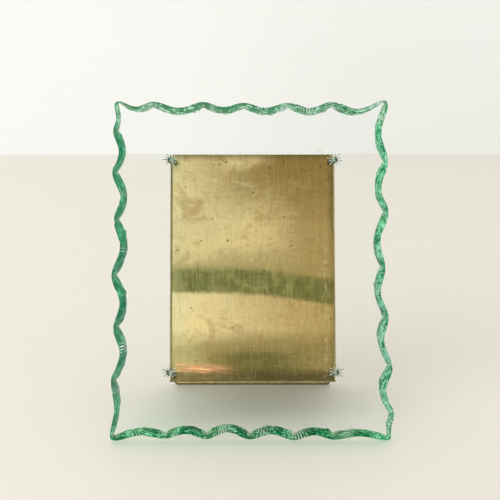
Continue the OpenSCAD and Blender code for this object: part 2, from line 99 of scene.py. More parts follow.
# The stars: depth of a ray's groove, its half width at the tip and what it gains towards the middle,
# depth and radius of the cup where the rays meet, radius that is meshed as a share of the star's, and
# the turn of each star against the one before
GROOVE_DEPTH, GROOVE_TIP_W, GROOVE_SWELL = 0.8, 0.15, 0.16
CUP_DEPTH, CUP_R = 0.6, 0.1 * STAR_R
STAR_BORDER, STAR_TWIST = 1.04, 0.21
# Points along a bite, round a corner, through the slab's thickness, round a star, and across it
BITE_STEPS, CORNER_STEPS, RIM_STEPS, STAR_TURNS, STAR_STEPS = 54, 10, 27, 192, 40
CLEAR, RIM, CUT = 0, 1, 2  # the slab's finishes, in the order of its materials
# the cut mask holds the painted light and shade on the flanks of the stars
MASKS = ("rim", "ridge", "cusp", "cut")  # values that the slab keeps at its points for its finishes


def to_part(points):
    """Slab coordinates in mm to part coordinates in metres: lean back about the foot, then shift."""
    x, y, z = np.moveaxis(np.asarray(points, float), -1, 0)
    return np.stack([x, y * cos(LEAN) + z * sin(LEAN) + CONTACT_Y, z * cos(LEAN) - y * sin(LEAN)], -1) * MM


def blend(a, b, t):
    """Linear blend from a to b."""
    return a + (b - a) * t


def hump(u):
    """One smooth swell, sine squared, 0 at both ends of u from 0 to 1."""
    return np.sin(np.pi * u) ** 2


# The slab's rim
def chips_and_ripples(edge, along, length, f, cusps, start, end):
    """Extra inset of the rim in mm and the ridges' mask, at distance along an edge and depth share f.

    Shell ripples: a sine of the distance to the point where each bite was struck, at its middle in the
    front edge, fading outwards. Ridges: a slanted sine along the edge under a Gaussian window, which
    opens towards the rear. Flakes: shallow scoops of elliptic outline in the front and rear edges.
    """
    depth = SLAB_T * (1 - f)
    extra = np.zeros(np.broadcast(along, f).shape)
    for i, (low, high) in enumerate(zip(cusps[:-1], cusps[1:])):
        middle = start + (end - start) * (low + high) / 2
        reach = np.hypot(along - middle, 1.3 * depth + 0.6)
        ripple = 1 + np.sin(reach * (3.1 - 0.06 * reach) + i)
        extra += RIPPLE * ripple * np.exp(-((along - middle) / RIPPLE_REACH) ** 2)
    mask = np.zeros_like(extra)
    for k, (share, width, strength) in enumerate(RIDGES[edge]):
        here = along - length * share
        fan = here * (1 - 0.22 * (1 - f)) + (0.8 if k % 2 else -0.6) * depth * 0.25
        window = np.exp(-(here / width) ** 2) * strength
        wave = 0.5 + 0.5 * np.sin(2 * np.pi * fan / (RIDGE_PITCH + 0.25 * (k % 3)) + k)
        mask = np.maximum(mask, window * wave ** 5)
        extra += RIDGE * window * wave
    rng = np.random.default_rng(sum(map(ord, edge)))
    for _ in range(int(length / FLAKE_EVERY)):
        place, half = rng.uniform(8, length - 8), rng.uniform(1.0, 4.5)
        deep, bite = rng.uniform(0.08, 0.34), rng.uniform(0.2, 0.6)
        side = f if rng.uniform() < 0.7 else 1 - f
        inside = 1 - ((along - place) / half) ** 2 - ((1 - side) / deep) ** 2
        extra += bite * np.sqrt(np.clip(inside, 0, 1)) * (0.35 + 0.65 * side)
    return extra, mask


def edge_insets(edge, drawn):
    """Insets of an edge's cusps, a row for each depth share. The first and last are the slab's corners."""
    rows = np.repeat(RIM_W * RIM_SHARES[edge] * drawn, len(SETBACKS[edge]), 1)
    rows[:, [0, -1]] = CORNER_RIM_W * drawn
    return rows + SETBACK * np.array(SETBACKS[edge])


def edge_surface(edge, f):
    """Distance along an edge, inset from it, ridge mask and cusp mask, on a grid of depth shares by steps.

    Each bite runs from one cusp to the next, a sine-squared wave at the rear face that turns into a
    parabolic scoop with sharp cusps at the front face. A quarter circle then leads round the corner.
    """
    length = SLAB_W if edge in ("top", "bottom") else SLAB_H
    drawn = f ** RIM_CURVE
    rounding = blend(CORNER_R, CORNER_R * CORNER_SHARE, f)
    bite = blend(REAR_BITE, FRONT_BITE, drawn) + RIM_HOLLOW * np.sin(np.pi * f)
    place = EDGES.index(edge)
    own = edge_insets(edge, drawn)
    start = edge_insets(EDGES[place - 1], drawn)[:, -1:] + rounding
    end = length - edge_insets(EDGES[(place + 1) % 4], drawn)[:, :1] - rounding
    cusps = np.array(CUSPS[edge])
    k = np.repeat(np.arange(len(cusps) - 1), BITE_STEPS)
    u = np.tile(np.arange(BITE_STEPS) / BITE_STEPS, len(cusps) - 1)
    along = start + (end - start) * blend(cusps[k], cusps[k + 1], u)
    depth = bite * np.array(BITES[edge])[k]
    inset = blend(own[:, k], own[:, k + 1], hump(u / 2)) + depth * blend(hump(u), 4 * u * (1 - u), f)
    extra, ridge = chips_and_ripples(edge, along, length, f, cusps, start, end)
    inset = inset + extra * np.clip(np.minimum(along - start, end - along) / CORNER_FADE, 0, 1)
    from_cusp = np.minimum(u, 1 - u) * (cusps[k + 1] - cusps[k]) * length
    cusp = np.exp(-(from_cusp / CUSP_W) ** 2) * f ** 2
    turn = np.pi / 2 * np.arange(CORNER_STEPS) / CORNER_STEPS
    corner_along = end + rounding * np.sin(turn)
    corner_inset = own[:, -1:] + rounding * (1 - np.cos(turn))
    no_mask = np.zeros_like(corner_along)
    return (np.hstack([along, corner_along]), np.hstack([inset, corner_inset]),
            np.hstack([ridge, no_mask]), np.hstack([cusp, no_mask]))


def rim_rings(shares):
    """The rim as rings of points in slab coordinates, from rear to front, and its ridge and cusp masks."""
    f = shares[:, None]
    half_w = SLAB_W / 2
    turned = {
        "top": lambda a, i: (a - half_w, SLAB_H - i),
        "right": lambda a, i: (half_w - i, SLAB_H - a),
        "bottom": lambda a, i: (half_w - a, i),
        "left": lambda a, i: (i - half_w, a),
    }
    parts = []
    for edge, turn in turned.items():
        along, inset, ridge, cusp = edge_surface(edge, f)
        x, z = turn(along, inset)
        parts.append(np.stack([x, np.broadcast_to(-SLAB_T * f, x.shape), z, ridge, cusp], -1))
    rings = np.concatenate(parts, 1)
    return rings[..., :3], rings[..., 3], rings[..., 4]


# The stars, the blind holes and the whole slab
def star_cut(r, a):
    """Depth of a cut star at radius r and angle a, and the painted light on a flank there, 0 to 1.

    Every ray is a narrow V groove whose depth falls off with the distance from its line and towards
    its tip. The wheel leaves every second ray shorter, and all of them meet in a shallow cup. A flank
    on one side of ray angle A faces A - 90 degrees, the other one A + 90, and up and left is 135.
    Flanks that face there, towards the light, are painted lighter, and painted shade makes every third ray
    dark.
    """
    step = 2 * np.pi / STAR_RAYS
    ray = np.round(a / step)
    off = (a - ray * step) * r
    reach = STAR_R * (1 - 0.24 * (ray % 2) - 0.07 * np.sin(5 * ray))
    taper = np.clip(1 - r / reach, 0, 1)
    width = GROOVE_TIP_W + GROOVE_SWELL * taper
    groove = GROOVE_DEPTH * taper ** 0.7 * np.clip(1 - np.abs(off) / width, 0, 1)
    cup = CUP_DEPTH * np.clip(1 - (r / CUP_R) ** 2, 0, 1)
    facing = -np.sign(off) * np.cos(ray * step + np.pi / 2 - 3 * np.pi / 4)
    light = np.clip(0.5 + 0.15 * facing - 0.3 * np.cos(2 * np.pi * ray / 3), 0, 1)
    return np.minimum(np.maximum(groove, cup) + 0.2 * cup, STAR_DEPTH), light


def rings_round(cx, cz, r, a, y):
    """Rings of points at radius r and angle a round a middle, y back from the rear face."""
    return np.stack([cx + r * np.cos(a), y, cz + r * np.sin(a)], -1)


def star_rings(n, cx, cz):
    """Star n as rings from its border inwards, its middle point, its mask of painted light and shade, and
    which quads are cut.
    """
    radii = STAR_R * STAR_BORDER * (np.arange(STAR_STEPS, 0, -1) / STAR_STEPS)
    r, a = np.meshgrid(radii, 2 * np.pi * np.arange(STAR_TURNS) / STAR_TURNS, indexing="ij")
    sunk, light = star_cut(r, (a + STAR_TWIST * n) % (2 * np.pi))
    sunk[0] = 0
    # painted light and shade: a matte groove is painted dark beside the brass and light over it
    light = np.clip(light - 0.4 * np.sign(cx) * np.cos(a), 0, 1)
    deepest = star_cut(np.zeros(1), np.zeros(1))[0][0]
    outer, inner = sunk[:-1], sunk[1:]
    cut = outer + np.roll(inner, -1, 1) + np.roll(outer, -1, 1) + inner > 0.02
    return rings_round(cx, cz, r, a, sunk - SLAB_T), (cx, deepest - SLAB_T, cz), light, cut


def hole_rings(cx, cz):
    """A blind hole as two rings, at its mouth and at its floor, with the same facts as a star."""
    r, a = np.meshgrid([HOLE_R, HOLE_R], 2 * np.pi * np.arange(STAR_TURNS) / STAR_TURNS, indexing="ij")
    y = -HOLE_DEPTH * (np.arange(2)[:, None] + 0 * r)
    return rings_round(cx, cz, r, a, y), (cx, -HOLE_DEPTH, cz), 0 * r, np.zeros((1, STAR_TURNS), bool)


def ring_quads(rows, around, first=0):
    """Quads between neighbouring rings of points, which are numbered ring by ring from first."""
    j, i = np.meshgrid(np.arange(rows - 1), np.arange(around), indexing="ij")
    here, beside = first + j * around + i, first + j * around + (i + 1) % around
    return np.stack([here, here + around, beside + around, beside], -1)


def crystal_mesh():
    """The slab as one closed mesh: rim rings, flat faces with round openings, stars and blind holes in them.

    Gives its points in slab coordinates, blocks of faces, the finish of each face, and a row of masks
    for each point: its depth share in the rim, ridge, cusp, and the painted light and shade on a flank of a
    star.
    """
    shares = 0.5 - 0.5 * np.cos(np.linspace(0, np.pi, RIM_STEPS))
    rings, ridge, cusp = rim_rings(shares)
    around = rings.shape[1]
    depth = np.broadcast_to(shares[:, None], cusp.shape)
    points = [rings.reshape(-1, 3)]
    masks = [np.stack([depth, ridge, cusp, 0 * cusp], -1).reshape(-1, 4)]
    faces = [ring_quads(RIM_STEPS, around).reshape(-1, 4)]
    kinds = [np.full(len(faces[0]), RIM)]
    total = RIM_STEPS * around
    borders = {"rear": [np.arange(around)], "front": [total - around + np.arange(around)]}
    openings = [("front", star_rings(n, *place)) for n, place in enumerate(STAR_PLACES)]
    openings += [("rear", hole_rings(*place)) for place in STAR_PLACES]
    for side, (rings, middle, light, cut) in openings:
        rows, cols = rings.shape[:2]
        quads = ring_quads(rows, cols, total)
        last = total + (rows - 1) * cols + np.arange(cols)
        fan = np.stack([last, np.full(cols, total + rows * cols), np.roll(last, -1)], -1)
        if side == "front":
            quads, fan = quads[..., ::-1], fan[..., ::-1]
        mask = np.zeros((light.size + 1, 4))
        mask[:-1, 3] = light.ravel()
        points += [rings.reshape(-1, 3), np.array([middle])]
        masks.append(mask)
        faces += [quads.reshape(-1, 4), fan]
        kinds += [np.where(cut, CUT, CLEAR).ravel(), np.full(cols, CUT if side == "front" else CLEAR)]
        borders[side].append(np.arange(total, total + cols))
        total += rows * cols + 1
    points = np.concatenate(points)
    for side, outward in (("rear", 1), ("front", -1)):
        faces.append(fill_between(borders[side], points, outward))
        kinds.append(np.full(len(faces[-1]), CLEAR))
    return points, faces, np.concatenate(kinds), np.concatenate(masks)


def fill_between(loops, points, outward):
    """Triangles that fill a flat face between its outer border and round openings, facing outward on Y."""
    work = bmesh.new()
    back = {}
    edges = []
    for loop in loops:
        made = [work.verts.new(points[v]) for v in loop]
        back.update(zip(made, loop))
        edges += [work.edges.new((made[n - 1], made[n])) for n in range(len(made))]
    bmesh.ops.triangle_fill(work, use_beauty=True, use_dissolve=False, edges=edges)
    triangles = np.array([[back[v] for v in face.verts] for face in work.faces])
    work.free()
    a, b, c = (points[triangles[:, n]] for n in range(3))
    wrong = np.cross(b - a, c - a)[:, 1] * outward < 0
    triangles[wrong] = triangles[wrong][:, ::-1]
    return triangles


def make_object(name, points, faces, materials, kinds=None, smooth=None):
    """A mesh object at the origin, from points in metres, blocks of faces and a material number for each."""
    mesh = bpy.data.meshes.new(name)
    mesh.from_pydata(points.tolist(), [], [face for block in faces for face in block.tolist()])
    for material in materials:
        mesh.materials.append(material)
    if kinds is not None:
        mesh.polygons.foreach_set("material_index", kinds.astype(np.int32))
    if smooth is not None:
        mesh.polygons.foreach_set("use_smooth", smooth)
    mesh.update()
    made = bpy.data.objects.new(name, mesh)
    bpy.context.scene.collection.objects.link(made)
    return made


# Shader tools
class Pattern:
    """What a shader node puts out over a surface. Grey values add, subtract, multiply and divide."""

    def __init__(self, node, output=0):
        self.tree, self.socket = node.id_data, node.outputs[output]

    def __add__(self, other):
        return reckon("ADD", self, other)

    def __sub__(self, other):
        return reckon("SUBTRACT", self, other)

    def __mul__(self, other):
        return reckon("MULTIPLY", self, other)

    def __truediv__(self, other):
        return reckon("DIVIDE", self, other)

    def __pow__(self, other):
        return reckon("POWER", self, other)

    def __abs__(self):
        return reckon("ABSOLUTE", self)


def feed(node, feeds):
    """Feeds inputs of a node, by name or number, from patterns or with plain values, and gives the node."""
    for key, value in feeds.items():
        if isinstance(value, Pattern):
            node.id_data.links.new(value.socket, node.inputs[key])
        else:
            node.inputs[key].default_value = value
    return node


def put(tree, kind, feeds=None, **options):
    """A new node of one kind, with its options set and its inputs fed."""
    made = tree.nodes.new(kind)
    for key, value in options.items():
        setattr(made, key, value)
    return feed(made, feeds or {})


def reckon(operation, *values):
    """The result of one Math node, whose first value is a pattern."""
    return Pattern(put(values[0].tree, "ShaderNodeMath", dict(enumerate(values)), operation=operation))


def larger(a, b):
    """The larger of two grey values."""
    return reckon("MAXIMUM", a, b)


def ease(value, low, high, to_low=0.0, to_high=1.0):
    """A smooth step of a value, to_low where it is low and to_high where it is high."""
    feeds = {"Value": value, "From Min": low, "From Max": high, "To Min": to_low, "To Max": to_high}
    return Pattern(put(value.tree, "ShaderNodeMapRange", feeds, interpolation_type="SMOOTHSTEP"))


def tint(share, under, over, blend_type="MIX"):
    """Colour over laid on colour under by a share."""
    tree = next(value.tree for value in (share, under, over) if isinstance(value, Pattern))
    return Pattern(put(tree, "ShaderNodeMix", {0: share, 6: under, 7: over},
                       data_type="RGBA", blend_type=blend_type, clamp_factor=True), 2)


def noise(at, scale, detail=3.0, roughness=0.55, distortion=0.0):
    """The grey value of a noise texture."""
    feeds = {"Vector": at, "Scale": scale, "Detail": detail, "Roughness": roughness,
             "Distortion": distortion}
    return Pattern(put(at.tree, "ShaderNodeTexNoise", feeds))


def stretched(at, x, y, z):
    """A place scaled along each axis."""
    return Pattern(put(at.tree, "ShaderNodeMapping", {"Vector": at, "Scale": (x, y, z)}))


def cells(at, scale=1.0, **options):
    """The node of a Voronoi texture, with one random point and colour for each cell."""
    return put(at.tree, "ShaderNodeTexVoronoi", {"Vector": at, "Scale": scale, "Randomness": 1.0}, **options)


def random_grey(cells_node, channel="Red"):
    """One random grey value for each cell of a Voronoi texture, from a channel of its colour."""
    feeds = {"Color": Pattern(cells_node, "Color")}
    return Pattern(put(cells_node.id_data, "ShaderNodeSeparateColor", feeds), channel)


def bumped(height, strength, distance):
    """A normal from a height field, over a distance in metres."""
    feeds = {"Height": height, "Strength": strength, "Distance": distance}
    return Pattern(put(height.tree, "ShaderNodeBump", feeds))


def object_mm(tree):
    """Object coordinates in millimetres, turned back by the lean, so X runs across and Z up the slab."""
    feeds = {"Vector": Pattern(put(tree, "ShaderNodeTexCoord"), "Object"), "Scale": (1000, 1000, 1000),
             "Rotation": (LEAN, 0, 0), "Location": (0, -CONTACT_Y * cos(LEAN), -CONTACT_Y * sin(LEAN))}
    return Pattern(put(tree, "ShaderNodeMapping", feeds))


def across_and_up(at):
    """The X and the Z of a place."""
    split = put(at.tree, "ShaderNodeSeparateXYZ", {"Vector": at})
    return Pattern(split, "X"), Pattern(split, "Z")


def new_group(name, inputs, outputs):
    """An empty node group, its inputs as patterns by name, and its output node."""
    group = bpy.data.node_groups.new(name, "ShaderNodeTree")
    for label, kind, value in inputs:
        group.interface.new_socket(label, in_out="INPUT", socket_type=kind).default_value = value
    for label, kind in outputs:
        group.interface.new_socket(label, in_out="OUTPUT", socket_type=kind)
    entry = group.nodes.new("NodeGroupInput")
    given = {label: Pattern(entry, label) for label, kind, value in inputs}
    return group, given, group.nodes.new("NodeGroupOutput")


def new_material(name):
    """A material whose tree has only a Principled node and the output, and its Principled node."""
    material = bpy.data.materials.new(name)
    material.use_nodes = True
    tree = material.node_tree
    tree.nodes.clear()
    out = tree.nodes.new("ShaderNodeOutputMaterial")
    body = tree.nodes.new("ShaderNodeBsdfPrincipled")
    feed(out, {"Surface": Pattern(body)})
    return material, body


def clear_where(body, share, color=(1.0, 1.0, 1.0, 1.0)):
    """Lets light straight through a material by a share, tinted, and gives the material's output node."""
    out = body.outputs[0].links[0].to_node
    clear = put(body.id_data, "ShaderNodeBsdfTransparent", {"Color": color})
    both = put(body.id_data, "ShaderNodeMixShader", {0: share, 1: Pattern(body), 2: Pattern(clear)})
    return feed(out, {"Surface": Pattern(both)})


# Colours, written as they look on a screen
FACE_VEIL, FACE_GAIN = 0.017, np.array([0.92, 0.965, 0.94])  # what the crystal's faces do to the brass
GLOSS_VEIL, GLOSS_GAIN = 0.013, 0.72  # what its gloss does to the broken rim


def srgb(r, g, b):
    """A colour written as three values from 0 to 255 on a screen, as linear light with full alpha."""
    c = np.array([r, g, b]) / 255
    return (*np.where(c > 0.04045, ((c + 0.055) / 1.055) ** 2.4, c / 12.92).tolist(), 1.0)


def behind(r, g, b):
    """The metal's own colour that looks like a screen colour once it is seen through the crystal."""
    c = (np.array(srgb(r, g, b)[:3]) - FACE_VEIL) / FACE_GAIN
    return (*np.clip(c, 0.004, 0.97).tolist(), 1.0)


def broken(r, g, b):
    """The colour of broken crystal that looks like a screen colour once its gloss is over it."""
    c = (np.array(srgb(r, g, b)[:3]) - GLOSS_VEIL) / GLOSS_GAIN
    return (*np.clip(c, 0.0, 0.97).tolist(), 1.0)


# Aged brass, used by several finishes
HAIR_LIGHT, HAIR_DARK, FRECKLE = srgb(236, 222, 164), srgb(92, 80, 36), srgb(84, 66, 30)


def brass_group():
    """Aged sheet brass: cloudy tone, upright brush marks, brown freckles, pits and fine scratches."""
    group, given, out = new_group("Aged brass", (
        ("Vector", "NodeSocketVector", (0, 0, 0)), ("Bright", "NodeSocketColor", (0.7, 0.6, 0.35, 1)),
        ("Dark", "NodeSocketColor", (0.35, 0.27, 0.11, 1)), ("Clouds", "NodeSocketFloat", 0.5),
        ("Brushing", "NodeSocketFloat", 0.5), ("Freckles", "NodeSocketFloat", 0.5),
    ), (("Color", "NodeSocketColor"), ("Roughness", "NodeSocketFloat"), ("Height", "NodeSocketFloat")))
    at = given["Vector"]
    broad = noise(at, 0.022, 4.0, 0.55, 0.6)
    fine = noise(at, 0.19, 5.0, 0.62, 0.3)
    cloud = ease(broad, 0.42, 0.66) * 0.5 + ease(fine, 0.42, 0.66) * 0.5
    upright = noise(stretched(at, 1.5, 1.5, 0.08), 1.0, 4.0, 0.7)
    level = noise(stretched(at, 0.08, 1.5, 1.3), 1.0, 4.0, 0.7)
    brush = upright * 0.6 + level * 0.4
    scratch = noise(stretched(at, 0.10, 0.5, 3.2), 1.0, 2.0, 0.5, 0.4)
    streak = (ease(brush, 0.42, 0.60, -0.5, 0.5) + ease(scratch, 0.62, 0.74, 0.0, 0.5)) * given["Brushing"]
    freckle = ease(Pattern(cells(at, 0.16), "Distance"), 0.20, 0.07) * ease(noise(at, 0.5, 2.0), 0.46, 0.62)
    pit = ease(Pattern(cells(at, 0.075), "Distance"), 0.075, 0.03) * ease(noise(at, 0.9, 2.0), 0.40, 0.55)
    color = tint(cloud * given["Clouds"], given["Bright"], given["Dark"])
    color = tint(larger(streak, 0.0) * 0.5, color, HAIR_LIGHT)
    color = tint(larger(streak * -1.0, 0.0) * 0.5, color, HAIR_DARK)
    color = tint(larger(freckle * 0.6, pit) * given["Freckles"], color, FRECKLE)
    rough = cloud * 0.14 + 0.30 + freckle * given["Freckles"] * 0.2
    height = brush * 0.35 + scratch * 0.25 - pit * 1.5 + broad * 2.5
    feed(out, {"Color": color, "Roughness": rough, "Height": height})
    return group


def brass_over(body, at, bright, dark, clouds, brushing, freckles):
    """Places the brass group in a material, with values of its own, and gives its node."""
    feeds = {"Vector": at, "Bright": bright, "Dark": dark, "Clouds": clouds, "Brushing": brushing,
             "Freckles": freckles}
    return put(body.id_data, "ShaderNodeGroup", feeds, node_tree=brass)


def brass_material(name, bright, dark, clouds, brushing, freckles):
    """A plain piece of aged brass."""
    material, body = new_material(name)
    made = brass_over(body, object_mm(body.id_data), bright, dark, clouds, brushing, freckles)
    feed(body, {"Base Color": Pattern(made, "Color"), "Roughness": Pattern(made, "Roughness"),
                "Metallic": 1.0, "Normal": bumped(Pattern(made, "Height"), 0.25, 0.00004)})
    return material


# Tones of the back plate. Those in pairs are for its left side and for its right side; where the left one is
# lighter, that is painted light from the lamp on the left.
GOLD = behind(222, 206, 150), behind(174, 148, 88)
LOW_GOLD = behind(230, 213, 156), behind(186, 160, 98)
# the second of these is the tone of a painted sheen
HIGH_BROWN, SHEEN_GOLD = behind(140, 115, 55), behind(224, 207, 146)
CLOUD_BROWN, SMEAR_BROWN, CLOUD_PALE = behind(166, 134, 76), behind(138, 108, 56), behind(226, 214, 158)
LEFT_GREEN, HAZE = behind(204, 208, 160), behind(158, 146, 88)
OLIVE, OLIVE_END = (behind(98, 102, 52), behind(102, 101, 46)), behind(148, 152, 106)
OLIVE_MOTTLE, OLIVE_STRIPE = behind(130, 127, 72), behind(144, 142, 90)
LOW_ARCH, LOW_ARCH_CORE = (behind(170, 162, 110), behind(146, 128, 74)), behind(100, 94, 46)
FOOT = behind(112, 97, 58), behind(78, 69, 31)
# a painted reflection and a painted highlight
PINK_REFLECTION, PALE_GOLD_HIGHLIGHT = behind(224, 156, 112), behind(240, 206, 146)
# the second tone here is painted shade along the edges
RUBBED, EDGE_SHADE = behind(206, 200, 158), behind(94, 82, 42)
RUST, STUD_DARK_GREEN = behind(88, 58, 28), behind(56, 62, 36)
CLOUD_SHADE = (0.66, 0.55, 0.36, 1.0)  # what the brass group's clouds multiply the tone by


def plate_material():
    """The back plate: gold with painted light on the left, browner to the right, an olive band across it,
    darker along the foot.

    Places are in mm, across from the middle of the plate and up from its foot. They wander with a
    broad noise, or are ragged with a noise of upright streaks.
    """
    material, body = new_material("Back plate brass")
    at = object_mm(body.id_data)
    x, z = across_and_up(at)
    across, up = x - POCKET_X, z - FLOOR_Z
    wander = (noise(at, 0.03, 4.0) - 0.5) * 30.0
    ragged = (noise(stretched(at, 1.6, 1.6, 0.03), 1.0, 3.0) - 0.5) * 7.0
    # the sheet itself: gold with painted light on the left, where the lamp is, browner to the right and
    # towards the top, brighter under the band
    right = ease(across + wander, -70.0, 62.0)
    color = tint(right, *GOLD)
    high = ease(up + wander, 112.0, 172.0) * ease(across, -62.0, 20.0)
    color = tint(high * 0.9, color, HIGH_BROWN)
    # painted sheen: a broad lighter patch in the middle and a bright strip just under the top
    off_middle = abs(across + 8.0)
    painted_sheen = ease(up, 92.0, 112.0) * ease(up, 156.0, 120.0) * ease(off_middle, 46.0, 12.0)
    crest = ease(up + wander, 164.0, 174.0) * ease(off_middle, 30.0, 6.0)
    color = tint(larger(painted_sheen * 0.7, crest * 0.85), color, SHEEN_GOLD)
    # brighter under the band, its left side lighter with the same painted light
    low = ease(up, 72.0, 66.0) * ease(up, 30.0, 42.0)
    color = tint(low * 0.85, color, tint(right, *LOW_GOLD))
    # brown and pale clouds, greener at the left edge
    brown = ease(noise(at, 0.05, 5.0, 0.62, 1.0), 0.50, 0.66)
    color = tint(brown * 0.5, color, CLOUD_BROWN)
    smear = ease(noise(stretched(at, 0.16, 0.16, 0.1), 1.0, 6.0, 0.7, 1.4), 0.52, 0.7)
    color = tint(smear * ease(up, 84.0, 104.0) * 0.4, color, SMEAR_BROWN)
    pale = ease(noise(stretched(at, 0.05, 0.05, 0.09), 1.0, 5.0, 0.6, 0.8), 0.53, 0.68)
    pale = pale * ease(across, 40.0, -20.0, 0.06, 0.36) * ease(up, 60.0, 90.0, 0.5, 1.0)
    color = tint(pale, color, CLOUD_PALE)
    color = tint(ease(across, -50.0, -62.0) * 0.4, color, LEFT_GREEN)
    # the olive band, level on the left and sinking to the right, with ragged brushed edges
    sink = larger((across + 22.0) / 84.0, 0.0) ** 1.5
    level = up + sink * 10.0
    band = ease(level + ragged * 0.5, 67.0, 71.4) * ease(level + ragged, 92.5, 85.5)
    haze = ease(level, 70.0, 74.0) * ease(level + wander, 110.0, 86.0)
    color = tint(haze * 0.65, color, HAZE)
    mottle = noise(at, 0.09, 4.0, 0.6, 0.4)
    stripe = noise(stretched(at, 1.3, 1.3, 0.05), 1.0, 4.0, 0.65)
    olive = tint(ease(across, -36.0, 40.0), *OLIVE)
    olive = tint(ease(across, -52.0, -63.0), olive, OLIVE_END)
    olive = tint(ease(mottle, 0.46, 0.64), olive, OLIVE_MOTTLE)
    olive = tint(ease(stripe, 0.46, 0.62) * 0.5, olive, OLIVE_STRIPE)
    color = tint(band * 0.97, color, olive)
    # the darker arched zone low on the plate, its dark core and the dark foot; the zone and the foot take
    # painted light on the left
    bow = ((across - 10.0) / 60.0) ** 2.0
    arch = up + bow * 4.0 + wander * 0.2
    color = tint(ease(arch, 42.0, 27.0) * 0.9, color, tint(ease(across, -56.0, -26.0), *LOW_ARCH))
    core = ease(arch + ragged * 0.7, 28.0, 19.0) * ease(abs(across - 4.0), 52.0, 8.0)
    color = tint(core * 0.9, color, LOW_ARCH_CORE)
    foot = ease(up + ragged * 0.4, 11.5, 4.0)
    color = tint(foot * 0.85, color, tint(ease(across, -60.0, 20.0), *FOOT))
    # a painted copper-pink reflection and pale gold painted highlights low on the left, in thin streaks, a
    # little slanted
    slant = up + (across + 60.0) * 0.07
    slanted = Pattern(put(at.tree, "ShaderNodeCombineXYZ", {"X": across, "Z": slant}))
    reflection_streaks = noise(stretched(slanted, 0.035, 0.1, 1.15), 1.0, 3.0, 0.6, 0.9)
    there = ease(slant, 6.0, 8.5) * ease(slant, 16.5, 13.5)
    there = there * (ease(across, -4.0, -44.0) * ease(across, -62.0, -59.0))
    color = tint(there * ease(reflection_streaks, 0.45, 0.54), color, PINK_REFLECTION)
    color = tint(there * ease(reflection_streaks, 0.57, 0.62), color, PALE_GOLD_HIGHLIGHT)
    # a faint rubbed line near the right edge, and painted shade that darkens the edges at the left, the
    # right and the top
    from_line = abs(across - (wander * 0.05 + 57.5))
    dots = ease(noise(stretched(at, 0.4, 0.4, 0.3), 1.0, 4.0, 0.7), 0.50, 0.66)
    rubbed = ease(from_line, 2.2, 0.2) * dots * ease(up, 150.0, 80.0)
    color = tint(rubbed * 0.6, color, RUBBED)
    edge = ease(across + wander * 0.3, 57.5, 64.0) * ease(up, 90.0, 130.0, 0.45, 1.0)
    edge = larger(edge, ease(up, 173.0, 180.0))
    edge = larger(edge, ease(across, -62.6, -63.8) * 0.8)
    color = tint(edge * 0.66, color, EDGE_SHADE)
    # specks of rust brown, in some of the cells only
    flat = Pattern(put(at.tree, "ShaderNodeCombineXYZ", {"X": across, "Y": up}))
    scattered = cells(flat, 0.045, voronoi_dimensions="2D")
    crumbly = (noise(at, 0.8, 3.0, 0.6) - 0.5) * 0.16
    speck = ease(Pattern(scattered, "Distance") + crumbly, 0.044, 0.02)
    speck = speck * ease(random_grey(scattered, "Green"), 0.45, 0.6)
    color = tint(speck * 0.8, color, RUST)
    # dark green spots round the four studs, reaching further on the inner side
    for stud_x, stud_z in STAR_PLACES:
        stud = (stud_x - 3.2 * np.sign(stud_x), 1.0, stud_z - 1.6)
        away = Pattern(put(at.tree, "ShaderNodeVectorMath", {0: at, 1: stud}, operation="DISTANCE"), "Value")
        away = away + (mottle - 0.5) * 6.0
        color = tint(ease(away, 3.5, 1.8) * 0.8, color, STUD_DARK_GREEN)
    shade = tint(1.0, color, CLOUD_SHADE, "MULTIPLY")
    made = brass_over(body, at, color, shade, 0.5, 0.45, 0.9)
    feed(body, {"Base Color": Pattern(made, "Color"), "Roughness": Pattern(made, "Roughness") + band * 0.05,
                "Metallic": 1.0, "Normal": bumped(Pattern(made, "Height"), 0.2, 0.00004)})
    return material


# The crystal's finishes
CRYSTAL_IOR = 1.5
ABSORB_COLOR, ABSORB_DENSITY = (0.30, 0.98, 0.84, 1.0), 4.5
# What is left of light that passes straight through a face, and through the rim or a star
FACE_SHADE, ROUGH_SHADE = (0.985, 0.99, 0.985, 1.0), (0.80, 0.93, 0.87, 1.0)
# Greens of the rim on a screen, at the left, the foot, the right and the top of the slab
DEEP_GREEN = (28, 92, 68), (2, 82, 50), (20, 104, 70), (50, 102, 72)
MILD_GREEN = (66, 132, 102), (26, 124, 84), (72, 168, 120), (88, 144, 110)
# the palest greens are painted highlights
HIGHLIGHT_GREEN = (130, 192, 162), (160, 226, 192), (164, 242, 204), (204, 234, 212)
# painted highlights on chips, glints and ridges, and painted beige light at the cusps
BORDER_GREEN, CHIP_HIGHLIGHT, CUSP_BEIGE = broken(30, 96, 66), broken(216, 248, 230), broken(206, 208, 184)
GLINT, RIDGE_HIGHLIGHT = broken(230, 252, 240), broken(226, 250, 238)
# painted shade and painted light on the flanks of the stars, and their grain
CUT_SHADED, CUT_LIT, CUT_GRAIN = srgb(66, 74, 66), srgb(252, 248, 240), srgb(122, 136, 128)


def slab_mask(tree, label):
    """One of the masks that the slab keeps at its points."""
    return Pattern(put(tree, "ShaderNodeAttribute", attribute_name=label), "Fac")


def dress_face(body):
    """The clear faces, with a weak mirror, as in a dim room."""
    feed(body, {"Base Color": (1.0, 1.0, 1.0, 1.0), "Specular Tint": (0.3, 0.3, 0.3, 1.0)})


def dress_cut(body):
    """The cut stars: matte grooves whose flanks run from grey-green painted shade to near white painted
    light, with a fine grain.
    """
    tree = body.id_data
    flank = tint(ease(slab_mask(tree, "cut"), 0.2, 0.8), CUT_SHADED, CUT_LIT)
    grain = ease(noise(object_mm(tree), 1.4, 3.0), 0.4, 0.65) * 0.35
    feed(body, {"Base Color": tint(grain, flank, CUT_GRAIN)})


